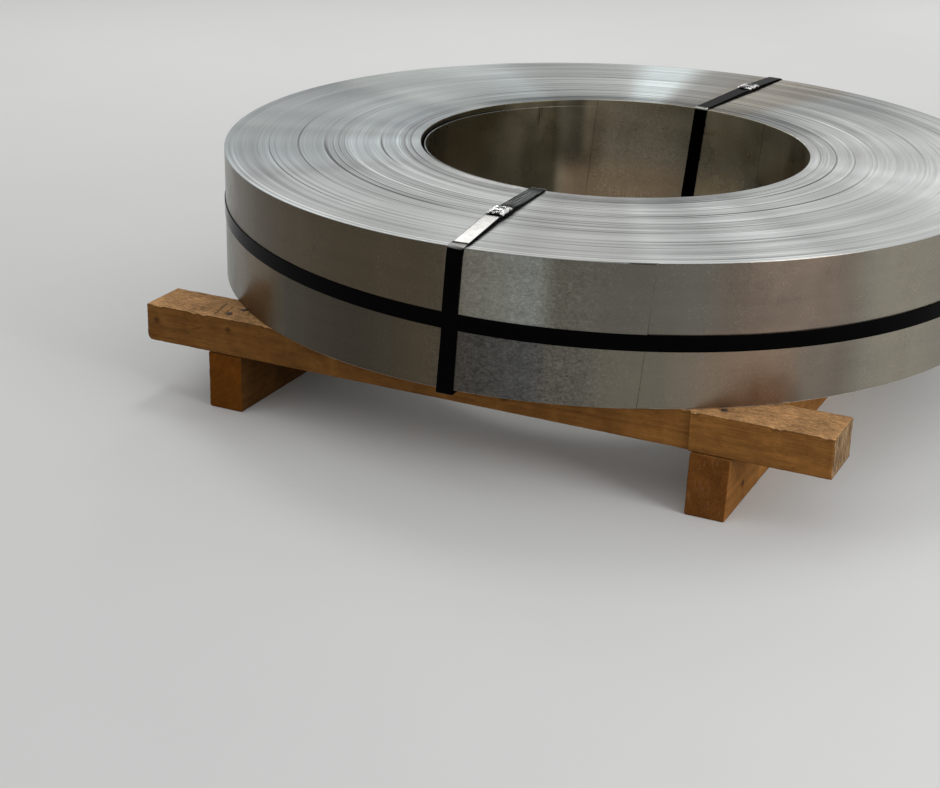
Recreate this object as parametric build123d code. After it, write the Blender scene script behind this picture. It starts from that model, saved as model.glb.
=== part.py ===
from build123d import *
import math
import os

# Slit steel strip wound into a flat coil, held by steel strapping and lying eye up on a timber skid.
# Millimetres. The coil's axis is Z, the floor is Z = 0, and the skid's cross timbers run along X.

# Coil
bore_diameter = 508.0
outside_diameter = 1016.0
strip_width = 167.0
strip_gauge = 1.2
turns_in_band = 8
band_unevenness = 1.0
band_pattern = (0.0, 0.55, 0.2, 1.0, 0.35, 0.75, 0.1)

# Strapping: one strap round the wall, two through the eye
strap_width = 19.0
strap_thickness = 0.8
strap_clearance = 0.1
strap_lap = 34.0
belly_strap_height = 86.0
belly_strap_slope = 1.3
belly_strap_high_azimuth = 157.0
front_strap_azimuth = -88.5
rear_strap_azimuth = 82.6
strap_bow_out = 2.5
strap_bow_drop = 5.0
strap_bend_radius = 5.0
strap_landing = 12.0

# Seals, the pressed caps that lock each strap's lap
seal_length = 30.0
seal_wall = 0.9
seal_clearance = 0.3
seal_notch_length = 3.5
seal_notch_depth = 2.2
seal_notch_pitch = 13.0
front_seal_inward = 1.0
front_seal_lift = 6.0
rear_seal_outward = 24.0
rear_seal_lift = 4.0
belly_seal_azimuth = 24.0

# Skid: two bearers on edge, two cross timbers laid flat over them, cut and set out to suit the coil
timber_wide = 73.0
timber_thick = 48.0
timber_edge_radius = 1.5
cross_timber_inset = 74.0
cross_timber_left_inset = 62.0
cross_timber_right_inset = 74.0
left_bearer_inset = 175.0
right_bearer_inset = 210.0
bearer_setback = 1.0
bearer_shift = 3.0
saw_step_depth = 3.0
saw_step_margin = 3.0
strap_dent_margin = 1.0

# Nails, two at each crossing
nail_diameter = 3.8
nail_length = 90.0
nail_head_diameter = 8.0
nail_head_thickness = 1.2
nail_sink = 1.0
nail_clearance = 0.05
nail_from_face = 24.0
nail_pitch = 20.0
nail_stagger = 9.0

# Worked out from the sizes above
bore_radius = bore_diameter / 2
coil_radius = outside_diameter / 2
coil_height = strip_width + band_unevenness
skid_height = timber_wide + timber_thick
band_depth = turns_in_band * strip_gauge
band_count = math.floor((coil_radius - bore_radius) / band_depth)
ring_middle = (bore_radius + coil_radius) / 2
front_seal_radius = ring_middle - front_seal_inward
rear_seal_radius = ring_middle + rear_seal_outward
strap_half = strap_width / 2
belly_strap_inside = coil_radius + strap_clearance
belly_strap_outside = belly_strap_inside + strap_thickness
eye_strap_bore_seat = math.sqrt(bore_radius ** 2 - strap_half ** 2) - strap_clearance
strap_dent_depth = strap_thickness + 2 * strap_clearance
cross_timber_front = coil_radius - cross_timber_inset
cross_timber_inner = cross_timber_front - timber_wide
cross_timber_left = cross_timber_left_inset - coil_radius
cross_timber_right = coil_radius - cross_timber_right_inset
cross_timber_length = cross_timber_right - cross_timber_left
bearer_length = 2 * (cross_timber_front - bearer_setback)
left_bearer_x = left_bearer_inset - coil_radius
right_bearer_x = coil_radius - right_bearer_inset
saw_step_x = right_bearer_x - timber_thick / 2 - saw_step_margin
strap_landing_radius = cross_timber_front + strap_landing
lap_angle = math.degrees(strap_lap / belly_strap_outside)
full_turn = 360.0

# How a block or cylinder sits on the point it is placed by
standing = (Align.CENTER, Align.CENTER, Align.MIN)
hanging = (Align.CENTER, Align.CENTER, Align.MAX)


def make_strip_coil():
    """The wound strip, turned in one: bands of turns stand a little higher or lower on both ends."""
    radii = [bore_radius + band * band_depth for band in range(band_count)] + [coil_radius]
    underside = []
    top = []
    for band in range(band_count):
        lift = band_unevenness * band_pattern[band % len(band_pattern)]
        for radius in (radii[band], radii[band + 1]):
            underside.append((radius, lift))
            top.append((radius, strip_width + lift))
    section = make_face(Plane.XZ * Polyline(*underside, *reversed(top), close=True))
    return revolve(section, Axis.Z)


def ring_sector(inside, outside, middle_height, height, angle):
    """A flat band bent round the coil's axis, centred on the X axis."""
    middle = ((inside + outside) / 2, middle_height)
    section = Plane.XZ * Pos(*middle) * Rectangle(outside - inside, height)
    return Rot(Z=-angle / 2) * revolve(section, Axis.Z, revolution_arc=angle)


def belly_strap_at(azimuth):
    """Height of the belly strap's middle at an azimuth, and its slope there in degrees."""
    turned = math.radians(azimuth - belly_strap_high_azimuth)
    steepness = math.tan(math.radians(belly_strap_slope))
    height = belly_strap_height + coil_radius * steepness * math.cos(turned)
    slope = -math.degrees(math.atan(steepness * math.sin(turned)))
    return height, slope


def make_belly_strap():
    """The strap round the coil's wall, a little slanted, with its doubled lap."""
    band = ring_sector(belly_strap_inside, belly_strap_outside, belly_strap_height, strip_width, full_turn)
    lap_outside = belly_strap_outside + strap_thickness
    lap = ring_sector(belly_strap_outside, lap_outside, belly_strap_height, strip_width, lap_angle)
    slant = Rot(Z=belly_strap_high_azimuth) * Rot(Y=-belly_strap_slope)
    slab = slant * Box(2 * outside_diameter, 2 * outside_diameter, strap_width)
    return (band + Rot(Z=belly_seal_azimuth) * lap) & (Pos(0, 0, belly_strap_height) * slab)


def make_eye_strap(azimuth, seal_radius, seal_lift):
    """A strap through the bore, down outside the belly strap and back underneath, raised under its seal."""
    over = coil_height + strap_clearance
    wall = coil_radius + strap_clearance
    crossing = belly_strap_outside + strap_clearance
    belly, _ = belly_strap_at(azimuth)
    bend = (coil_radius + strap_bow_out, -strap_bow_drop)
    seat = make_face(
        Polyline(
            (eye_strap_bore_seat, over),
            (seal_radius - strap_lap / 2, over + seal_lift),
            (seal_radius + strap_lap / 2, over + seal_lift),
            (wall, over),
            (crossing, belly + strap_half),
            (crossing, belly - strap_half),
            bend,
            (strap_landing_radius, -strap_clearance),
            (eye_strap_bore_seat, -strap_clearance),
            close=True,
        )
    )
    seat = fillet(seat.vertices().sort_by_distance(bend)[0], strap_bend_radius)
    loop = Plane.XZ * (offset(seat, strap_thickness, kind=Kind.ARC) - seat)
    strap = extrude(loop, strap_half, both=True)
    lap_height = over + seal_lift + strap_thickness
    lap = Pos(seal_radius, 0, lap_height) * Box(strap_lap, strap_width, strap_thickness, align=standing)
    return Rot(Z=azimuth) * (strap + lap)


def make_seal():
    """A pressed cap, notched by the crimper: X along its strap, Y across, Z away from the coil."""
    slot_height = 2 * strap_thickness + seal_clearance
    slot_width = strap_width + 2 * seal_clearance
    width = slot_width + 2 * seal_wall
    cap = Box(seal_length, width, slot_height + seal_wall, align=standing)
    cap -= Box(seal_length, slot_width, slot_height, align=standing)
    notch = Box(seal_notch_length, 2 * seal_notch_depth, 2 * (slot_height + seal_wall))
    for along in (-seal_notch_pitch / 2, seal_notch_pitch / 2):
        for across in (-width / 2, width / 2):
            cap -= Pos(along, across, 0) * notch
    return Pos(0, 0, strap_clearance) * cap


def make_eye_seal(azimuth, seal_radius, seal_lift):
    """A seal over the coil's top face, where crimping it has pulled its strap up."""
    return Rot(Z=azimuth) * Pos(seal_radius, 0, coil_height + seal_lift) * make_seal()


def make_belly_seal():
    """The seal of the belly strap, on the coil's wall."""
    height, slope = belly_strap_at(belly_seal_azimuth)
    wall = Plane((coil_radius, 0, height), x_dir=(0, 1, 0), z_dir=(1, 0, 0))
    return Rot(Z=belly_seal_azimuth) * (wall * Rot(Z=slope) * make_seal())


def nail_places(near_y, away):
    """Where the nails stand in a cross timber: two over each bearer, in from the skid's outside."""
    places = []
    for bearer_x in (left_bearer_x, right_bearer_x):
        outward = math.copysign(nail_stagger / 2, bearer_x)
        places.append((bearer_x + outward, near_y + away * nail_from_face))
        places.append((bearer_x - outward, near_y + away * (nail_from_face + nail_pitch)))
    return places


front_nails = nail_places(-cross_timber_front, 1)
rear_nails = nail_places(cross_timber_front, -1)


def make_nail(x, y, play):
    """A nail driven down with its head sunk, or the hole it fills when play is added round it."""
    head_top = skid_height - nail_sink
    shank = Cylinder(nail_diameter / 2 + play, nail_length + play, align=hanging)
    head = Cylinder(nail_head_diameter / 2 + play, nail_head_thickness + play, align=hanging)
    return Pos(x, y, head_top) * (shank + head)


def nail_hole(x, y):
    """The nail's hole, open to the timber's top where its head went in."""
    mouth = Cylinder(nail_head_diameter / 2 + nail_clearance, 2 * nail_sink, align=standing)
    return make_nail(x, y, nail_clearance) + Pos(x, y, skid_height - nail_sink) * mouth


def make_skid_nails():
    """The eight nails that hold the skid together."""
    return Compound([make_nail(x, y, 0) for x, y in front_nails + rear_nails])


def make_cross_timber(near_y, strap_azimuth, nails, saw_step):
    """A timber laid flat under the coil, dented by the strap that the coil presses into it."""
    middle_y = near_y + timber_wide / 2
    timber = Box(cross_timber_length, timber_wide, timber_thick, align=standing)
    timber = Pos(cross_timber_left + cross_timber_length / 2, middle_y, timber_wide) * timber
    if saw_step:
        waste = Box(cross_timber_length, 2 * saw_step_depth, timber_thick, align=standing)
        timber -= Pos(saw_step_x - cross_timber_length / 2, near_y, timber_wide) * waste
    timber = fillet(timber.edges().filter_by(Axis.X), timber_edge_radius)
    dent = Box(
        2 * cross_timber_front,
        strap_width + 2 * strap_dent_margin,
        2 * strap_dent_depth,
        align=(Align.MIN, Align.CENTER, Align.CENTER),
    )
    timber -= Rot(Z=strap_azimuth) * Pos(0, 0, skid_height) * dent
    for x, y in nails:
        timber -= nail_hole(x, y)
    return timber


def make_bearer(middle_x, shift):
    """A timber on edge that carries both cross timbers."""
    bearer = Pos(middle_x, shift, 0) * Box(timber_thick, bearer_length, timber_wide, align=standing)
    bearer = fillet(bearer.edges().filter_by(Axis.Y), timber_edge_radius)
    for x, y in front_nails + rear_nails:
        if abs(x - middle_x) < timber_thick / 2:
            bearer -= make_nail(x, y, nail_clearance)
    return bearer


on_skid = Pos(0, 0, skid_height)
pieces = {
    "strip_coil": on_skid * make_strip_coil(),
    "belly_strap": on_skid * make_belly_strap(),
    "belly_seal": on_skid * make_belly_seal(),
    "front_eye_strap": on_skid * make_eye_strap(front_strap_azimuth, front_seal_radius, front_seal_lift),
    "front_eye_seal": on_skid * make_eye_seal(front_strap_azimuth, front_seal_radius, front_seal_lift),
    "rear_eye_strap": on_skid * make_eye_strap(rear_strap_azimuth, rear_seal_radius, rear_seal_lift),
    "rear_eye_seal": on_skid * make_eye_seal(rear_strap_azimuth, rear_seal_radius, rear_seal_lift),
    "front_cross_timber": make_cross_timber(-cross_timber_front, front_strap_azimuth, front_nails, True),
    "rear_cross_timber": make_cross_timber(cross_timber_inner, rear_strap_azimuth, rear_nails, False),
    "left_bearer": make_bearer(left_bearer_x, bearer_shift),
    "right_bearer": make_bearer(right_bearer_x, -bearer_shift),
    "skid_nails": make_skid_nails(),
}

os.makedirs("parts", exist_ok=True)
for name, piece in pieces.items():
    export_step(piece, f"parts/{name}.step")
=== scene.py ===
"""Dresses the strapped steel coil and its timber skid, and sets a plain stage round them.

Everything is in metres, in the packed model's frame: the coil's axis is Z and the floor is Z = 0.
"""

import math

import bpy
import numpy as np
from mathutils import Matrix, Vector


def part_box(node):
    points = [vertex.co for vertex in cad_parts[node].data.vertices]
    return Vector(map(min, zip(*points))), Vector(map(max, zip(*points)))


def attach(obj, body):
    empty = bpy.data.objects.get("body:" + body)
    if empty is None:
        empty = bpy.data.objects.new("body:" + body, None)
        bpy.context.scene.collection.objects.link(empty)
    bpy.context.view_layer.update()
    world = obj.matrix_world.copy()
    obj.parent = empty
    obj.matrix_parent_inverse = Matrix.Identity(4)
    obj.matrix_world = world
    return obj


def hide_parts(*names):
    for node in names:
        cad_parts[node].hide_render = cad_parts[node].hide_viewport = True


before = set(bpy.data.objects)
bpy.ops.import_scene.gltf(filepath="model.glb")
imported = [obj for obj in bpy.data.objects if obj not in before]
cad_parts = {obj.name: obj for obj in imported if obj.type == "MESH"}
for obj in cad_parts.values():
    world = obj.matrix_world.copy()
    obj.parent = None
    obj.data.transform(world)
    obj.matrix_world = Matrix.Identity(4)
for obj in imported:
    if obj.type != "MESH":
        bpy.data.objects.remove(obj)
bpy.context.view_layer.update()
coil_low, coil_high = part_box("strip_coil")

bl_info = {
    "name": "Steel Coil on a Timber Skid",
    "version": (1, 0, 0),
    "blender": (4, 5, 0),
    "location": "View3D > Sidebar > Steel Coil",
    "description": "Winds a strapped steel coil, saws its timber skid and lights them",
    "category": "Add Mesh",
}

MM = 0.001
FULL_TURN = 2 * math.pi
CLEARANCE = 0.1 * MM  # between a strap or seal and what it lies on
LAP_GAP = 0.02 * MM  # between a strap and its doubled lap
EDGE, WALL, BORE = range(3)  # the coil's materials

# How far each eye strap stands aside at the bore's rim, its seal, the kink before the wall's rim, under that rim,
# its crossing of the belly strap, its foot, and its foot in the bore.
FRONT_LEAN = np.array([-3.1, -1.0, 6.6, 3.0, -1.0, -5.6, 0.0]) * MM
REAR_LEAN = np.array([0.0, -0.8, 0.3, 0.3, 0.0, 0.0, 16.0]) * MM

# Places in the bore, in degrees: a second seam, drawn only as a line of painted shade, and a crease in the loose
# innermost turn.
BORE_SEAM = 57.2
LEAD_CREASE = 136.0

# The strip's two faces: the heights between which their bands change, how much brighter the grains are under them,
# and a mottled stretch's azimuth, half width and softness in degrees, with its strength over and under the divide.
WALL_FACE = {"divide": (0.199, 0.215), "sparkling": 0.20, "mottled": (-80, 9, 5), "mottling": (0.9, 1.6)}
BORE_FACE = {"divide": (0.170, 0.220), "sparkling": 0.60, "mottled": (100, 14, 9), "mottling": (0.5, 0.4)}

# Upright bands of painted reflection and painted shade on the strip's face: azimuth of the middle, half width and
# softness in degrees, how much of the band shows over and under the divide, and the colour that the plain one is
# multiplied by.
WALL_PAINTED_BANDS = (
    (-115, 32, 13, 1.0, 1.0, (0.66, 0.56, 0.45)),
    (-108, 11, 5, 0.0, 1.0, (0.70, 0.76, 0.82)),
    (-82.4, 5.2, 2.5, 1.0, 0.0, (2.12, 2.44, 2.80)),
    (-74.2, 3, 2, 1.0, 0.0, (1.13, 1.14, 1.12)),
    (-83, 5.8, 2.4, 0.0, 1.0, (0.71, 0.79, 0.95)),
    (-65, 4, 3, 0.0, 1.0, (1.25, 1.20, 1.10)),
    (-46, 8, 4, 1.0, 0.6, (1.05, 0.88, 0.82)),
    (-52, 6, 4, 0.0, 1.0, (1.45, 1.25, 1.10)),
    (-126, 6, 4, 0.0, 1.0, (1.45, 1.40, 1.25)),
    (-18, 15, 6, 1.0, 1.0, (1.85, 1.80, 1.72)),
    (-143, 6, 3, 1.0, 1.0, (1.50, 1.75, 1.95)),
    (-150, 4, 2, 0.2, 1.0, (1.45, 1.45, 1.45)),
    (35, 9, 5, 1.0, 1.0, (1.35, 1.35, 1.33)),
    (95, 15, 8, 1.0, 1.0, (1.50, 1.50, 1.48)),
    (160, 10, 6, 1.0, 1.0, (1.30, 1.30, 1.30)),
)
BORE_PAINTED_BANDS = (
    (186, 56, 1.6, 1.0, 1.0, (0.42, 0.42, 0.37)),
    (137, 5, 3, 1.0, 1.0, (0.72, 0.72, 0.72)),
    (126, 4.5, 2, 1.0, 0.0, (0.42, 0.43, 0.45)),
    (124, 8, 4, 1.0, 0.0, (0.74, 0.72, 0.66)),
    (136, 6, 3, 1.0, 0.4, (0.80, 0.79, 0.75)),
    (108, 20, 3, 0.0, 1.0, (1.14, 0.97, 0.86)),
    (75, 9, 4, 0.0, 1.0, (1.38, 1.22, 1.06)),
    (58, 24, 6, 1.0, 1.0, (1.45, 1.50, 1.50)),
    (-20, 18, 8, 1.0, 1.0, (1.25, 1.25, 1.22)),
    (-95, 14, 6, 1.0, 1.0, (1.25, 1.22, 1.20)),
)

# Soft sectors of the top face, with painted highlight and painted shade for the cut edges' shine: azimuth, half
# width and softness in degrees, and the colour that their own is multiplied by.
PAINTED_TOP_SECTORS = (
    (-180, 13, 6, (0.58, 0.59, 0.61)),
    (-163, 7, 5, (0.84, 0.85, 0.86)),
    (150, 18, 7, (0.78, 0.78, 0.77)),
    (119, 11, 5, (0.76, 0.74, 0.71)),
    (101, 5, 3, (1.22, 1.26, 1.26)),
    (90, 5, 4, (0.65, 0.62, 0.59)),
    (77, 8, 4, (0.88, 0.80, 0.72)),
    (-19, 14, 7, (1.70, 1.69, 1.67)),
    (1, 5, 5, (1.20, 1.20, 1.20)),
    (-75, 8, 5, (0.73, 0.72, 0.71)),
    (-60, 3, 4, (1.12, 1.12, 1.12)),
    (-119, 5, 4, (0.90, 0.91, 0.92)),
    (-145, 9, 6, (1.42, 1.44, 1.47)),
)

# Dark cuts in the front timber's top: both ends, and half of the width.
TOP_CUTS = (
    ((-0.3495, -0.4303), (-0.3602, -0.3762), 1.2 * MM),
    ((-0.3700, -0.4250), (-0.3640, -0.3960), 0.9 * MM),
    ((-0.3420, -0.4180), (-0.3450, -0.3890), 0.9 * MM),
)
# Knots and dark spots of the timbers: place, the distances from it between which they fade out, and colour.
TIMBER_MARKS = (
    ((0.3220, -0.3795, 0.0226), 2.0 * MM, 6.5 * MM, (0.030, 0.011, 0.004)),
    ((-0.4316, -0.4310, 0.1001), 1.0 * MM, 6.5 * MM, (0.060, 0.028, 0.008)),
    ((-0.3272, -0.4310, 0.1060), 1.0 * MM, 7.0 * MM, (0.062, 0.028, 0.008)),
    ((0.0450, -0.4310, 0.0950), 4.0 * MM, 11.0 * MM, (0.045, 0.018, 0.006)),
    ((0.3220, 0.1100, 0.0420), 5.0 * MM, 12.0 * MM, (0.040, 0.015, 0.005)),
    ((-0.3570, -0.1900, 0.0350), 5.0 * MM, 12.0 * MM, (0.040, 0.015, 0.005)),
    ((-0.1900, 0.4340, 0.0900), 5.0 * MM, 12.0 * MM, (0.040, 0.015, 0.005)),
)
# Timbers: name, whether it lies along X, distance between mesh points, seed, how pale its ends are, and how bright
# its faces are, which below 1 is painted shade.
TIMBERS = (
    ("front_cross_timber", True, 2.3 * MM, 21, 1.0, 1.0),
    ("rear_cross_timber", True, 2.3 * MM, 31, 0.8, 1.0),
    ("left_bearer", False, 2.6 * MM, 41, 0.0, 0.5),
    ("right_bearer", False, 2.6 * MM, 51, 0.1, 1.0),
)
# A nail's outline from its point to the middle of its head, in millimetres: radius, and height over the head's top.
NAIL_OUTLINE = np.array(
    [(0.05, -90), (1.9, -85), (1.9, -14), (2.05, -13), (1.9, -12), (2.05, -11), (1.9, -10), (1.9, -2.2), (2.6, -1.4)]
    + [(3.8, -1.2), (4.0, -1.0), (4.0, -0.35), (3.7, -0.08), (3.0, -0.02), (2.0, 0.0), (1.0, 0.0), (0.05, 0.0)]
)
# Lamps: name, place, the point faced, width, height, power in watts, colour, and spread of the beam in degrees.
LAMPS = (
    ("ceiling", (-0.86, 1.73, 4.5), (0, 0, 0.2), 0.8, 1.4, 24, (1, 1, 1), 180),
    ("window", (-2.3, 1.35, 2.1), (0, 0, 0.25), 0.8, 0.8, 6, (1, 1, 1), 180),
    ("glint", (-1.290, 2.251, 1.424), (0.0, -0.45, 0.29), 0.22, 0.18, 3.6, (1.0, 0.99, 0.945), 180),
    ("back", (0.35, 3.4, 1.0), (0.2, 0.0, 0.29), 1.4, 0.7, 7, (1, 1, 1), 180),
    ("right", (2.5, -0.9, 0.85), (0.3, -0.2, 0.12), 1.2, 1.0, 8.8, (1, 1, 1), 90),
)


# Settings


def length(name, description, default):
    """A size in metres."""
    return bpy.props.FloatProperty(
        name=name, description=description, default=default, unit="LENGTH", precision=4
    )


def angle(name, description, degrees):
    """An azimuth round the coil's axis, counted from +X towards +Y."""
    return bpy.props.FloatProperty(
        name=name, description=description, default=math.radians(degrees), unit="ROTATION", subtype="ANGLE"
    )


def colour(name, description, default):
    """A plain colour."""
    return bpy.props.FloatVectorProperty(
        name=name, description=description, default=default, size=3, min=0, max=1, subtype="COLOR"
    )


def number(name, description, default, low=0.0, high=1.0):
    """A plain number."""
    return bpy.props.FloatProperty(name=name, description=description, default=default, min=low, max=high)


class CoilStrip(bpy.types.PropertyGroup):
    """The wound strip."""

    bore_radius: length("Bore radius", "Radius of the open eye", 254 * MM)
    outside_radius: length("Outside radius", "Radius of the coil's wall", coil_high.x)
    underside: length("Underside", "Height of the coil's lower end over the floor", coil_low.z)
    top: length("Top", "Height of the highest turns over the floor", coil_high.z)
    gauge: length("Gauge", "Thickness of the strip", 1.2 * MM)
    unevenness: length("Unevenness", "How far turns stand over or under each other", 1.0 * MM)
    tail_azimuth: angle("Tail azimuth", "Where the outermost turn ends on the wall, at its upper corner", -63.1)
    lead_azimuth: angle("Lead azimuth", "Where the innermost turn begins in the bore, at its upper corner", 117.0)
    end_slant: length("End slant", "How far each cut end of the strip slants over the strip's width", 13.5 * MM)
    lead_join: angle("Lead join", "Where the loose innermost turn is tight against the bore again", 268.0)
    lead_drop: length("Lead drop", "How far the innermost turn has slid down at its end", 8.5 * MM)
    lead_gap: length("Lead gap", "How far the innermost turn stands off the bore", 5.0 * MM)
    edge_colour: colour("Slit edge", "Colour of the strip's cut edges on both ends", (0.50, 0.51, 0.50))
    wall_colour: colour("Wall", "Colour of the galvanised face outside", (0.158, 0.147, 0.124))
    bore_colour: colour("Bore", "Colour of the galvanised face inside", (0.42, 0.375, 0.285))


class CoilStraps(bpy.types.PropertyGroup):
    """The steel strapping and its seals."""

    width: length("Width", "Width of the strapping", 19 * MM)
    thickness: length("Thickness", "Thickness of the strapping", 0.8 * MM)
    lap: length("Lap", "Length of each strap's doubled lap", 27 * MM)
    belly_height: length("Belly strap height", "Middle of the strap round the wall, over the floor", 207 * MM)
    belly_slope: angle("Belly strap slope", "How far the strap round the wall slants", 1.3)
    belly_high_azimuth: angle("Belly strap high azimuth", "Where the strap round the wall is highest", 157.0)
    belly_seal_azimuth: angle("Belly seal azimuth", "Where the strap round the wall is closed", 24.0)
    front_azimuth: angle("Front strap azimuth", "Where the front strap goes through the eye", -88.5)
    front_seal_radius: length("Front seal radius", "Front seal's distance from the axis", 378.5 * MM)
    front_seal_lift: length("Front seal lift", "How far the front strap stands up under its seal", 4.4 * MM)
    rear_azimuth: angle("Rear strap azimuth", "Where the rear strap goes through the eye", 82.6)
    rear_seal_radius: length("Rear seal radius", "Rear seal's distance from the axis", 405 * MM)
    rear_seal_lift: length("Rear seal lift", "How far the rear strap stands up under its seal", 4 * MM)
    seal_length: length("Seal length", "Length of each pressed seal", 30 * MM)
    paint_colour: colour("Strap paint", "Colour of the baked paint on the strapping", (0.0004, 0.0004, 0.0004))
    seal_colour: colour("Seal", "Colour of the pressed seals", (0.84, 0.84, 0.82))


class CoilSkid(bpy.types.PropertyGroup):
    """The sawn timbers and their nails."""

    edge_radius: length("Edge radius", "Least rounding of the timbers' long edges", 1.6 * MM)
    wear: length("Edge wear", "Most that the edges are worn and torn besides", 3.2 * MM)
    saw_step: length("Saw step", "Depth of the step sawn in the front timber", 3 * MM)
    saw_step_x: length("Saw step place", "Where along X that step ends", 271 * MM)
    face_colour: colour("Sawn face", "Colour of the timbers' sides", (0.205, 0.088, 0.022))
    top_colour: colour("Weathered top", "Colour of the timbers' torn upper faces", (0.53, 0.295, 0.13))
    end_colour: colour("End grain", "Colour of the bearers' sawn ends", (0.128, 0.040, 0.003))
    pale_end_colour: colour("Pale end grain", "Colour of the cross timbers' sawn ends", (0.21, 0.130, 0.066))
    nail_colour: colour("Nail", "Colour of the nails", (0.10, 0.085, 0.075))


class CoilStage(bpy.types.PropertyGroup):
    """The floor, the lamps and the camera."""

    floor_colour: colour("Floor", "Colour of the floor", (0.74, 0.74, 0.73))
    floor_reach: length("Floor reach", "Radius of the floor", 40.0)
    horizon_colour: colour("Horizon", "Colour of the surroundings at eye level", (0.41, 0.412, 0.412))
    zenith_colour: colour("Zenith", "Colour of the surroundings overhead", (0.755, 0.763, 0.765))
    surroundings: number("Surroundings", "Strength of the surroundings' light", 0.85, 0.0, 5.0)
    camera_place: bpy.props.FloatVectorProperty(
        name="Camera place",
        description="Where the camera stands",
        default=(0.8558, -2.2413, 0.8931),
        size=3,
        subtype="XYZ",
        unit="LENGTH",
    )
    camera_heading: angle("Camera heading", "Way the camera looks, from +Y towards -X", 25.22)
    camera_pitch: angle("Camera pitch", "How far the camera looks down", 21.938)
    camera_roll: angle("Camera roll", "How far the camera is tilted about its own line", 1.5057)
    camera_lens: number("Camera lens", "Focal length in millimetres on a 36 mm sensor", 71.357, 10.0, 300.0)


SETTINGS = {"coil_strip": CoilStrip, "coil_straps": CoilStraps, "coil_skid": CoilSkid, "coil_stage": CoilStage}


# Number fields


def smooth(low, high, value):
    """Goes from 0 at low to 1 at high along three t squared less two t cubed."""
    t = np.clip((value - low) / (high - low), 0, 1)
    return t * t * (3 - 2 * t)


def ring_noise(rows, around, knots, seed):
    """Random numbers from -1 to 1 for each row, joined smoothly round the circle between evenly spaced knots."""
    table = np.random.default_rng(seed).uniform(-1, 1, (rows, knots))
    place = np.mod(around / FULL_TURN, 1) * knots
    knot = np.floor(place).astype(int) % knots
    share = smooth(0, 1, place - np.floor(place))
    return table[:, knot] * (1 - share) + table[:, (knot + 1) % knots] * share


def space_noise(place, cell, seed):
    """Random numbers from -1 to 1 on a lattice with this cell, joined smoothly along all three axes."""
    size = 32
    table = np.random.default_rng(seed).uniform(-1, 1, (size, size, size))
    at = place / np.asarray(cell, float)
    corner = np.floor(at).astype(int)
    share = smooth(0, 1, at - corner)
    total = np.zeros(place.shape[:-1])
    for step in np.ndindex(2, 2, 2):
        weight = np.prod(np.where(np.array(step) == 1, share, 1 - share), axis=-1)
        index = (corner + np.array(step)) % size
        total += weight * table[index[..., 0], index[..., 1], index[..., 2]]
    return total


def hump(middle, reach, value):
    """Goes from 1 at the middle to 0 away from it, along e to the power of minus the square of the distance."""
    return np.exp(-(((value - middle) / reach) ** 2))


# Meshes


def round_axis(radius, around, height):
    """Points at a distance from the axis, an azimuth and a height."""
    return np.stack(np.broadcast_arrays(radius * np.cos(around), radius * np.sin(around), height), axis=-1)


def compass(azimuth):
    """Unit vectors away from the axis and to its side, at an azimuth."""
    east, north = math.cos(azimuth), math.sin(azimuth)
    return np.array([east, north, 0.0]), np.array([-north, east, 0.0])


def grid_faces(rows, columns, close_rows=False):
    """Quads of a grid of points numbered row by row, whose columns go round."""
    row = np.arange(rows if close_rows else rows - 1)[:, None]
    column = np.arange(columns)[None, :]
    above = (row + 1) % rows
    right = (column + 1) % columns
    corners = [row * columns + column, row * columns + right, above * columns + right, above * columns + column]
    return np.stack(np.broadcast_arrays(*corners), axis=-1).reshape(-1, 4)


def grid_uv(rows, columns):
    """For each quad's corners the place in a map whose sides are the columns and the rows."""
    v, u = np.meshgrid(np.linspace(0, 1, rows), np.linspace(0, 1, columns), indexing="ij")
    at = np.stack([u, v], axis=-1)
    return np.stack([at[:-1, :-1], at[:-1, 1:], at[1:, 1:], at[1:, :-1]], axis=2).reshape(-1, 4, 2)


def closed_tube(points, close_rows=False):
    """Points and faces of rows of rings; open ends are closed by triangles to a middle point."""
    rows, columns = points.shape[:2]
    faces = grid_faces(rows, columns, close_rows).tolist()
    flat = points.reshape(-1, 3)
    if close_rows:
        return flat, faces
    middles = points[[0, -1]].mean(axis=1)
    ring = np.arange(columns)
    following = (ring + 1) % columns
    first = np.stack([following, ring, np.full(columns, len(flat))], axis=-1)
    last_row = (rows - 1) * columns
    last = np.stack([last_row + ring, last_row + following, np.full(columns, len(flat) + 1)], axis=-1)
    return np.concatenate([flat, middles]), faces + first.tolist() + last.tolist()


def volume(points, faces):
    """Six times the volume that the faces enclose, negative where they are inside out."""
    corners = np.array([face[:3] for face in faces] + [(face[0], face[2], face[3]) for face in faces if len(face) > 3])
    a, b, c = (points[corners[:, i]] for i in range(3))
    return float(np.einsum("ij,ij->", a, np.cross(b, c)))


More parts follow.
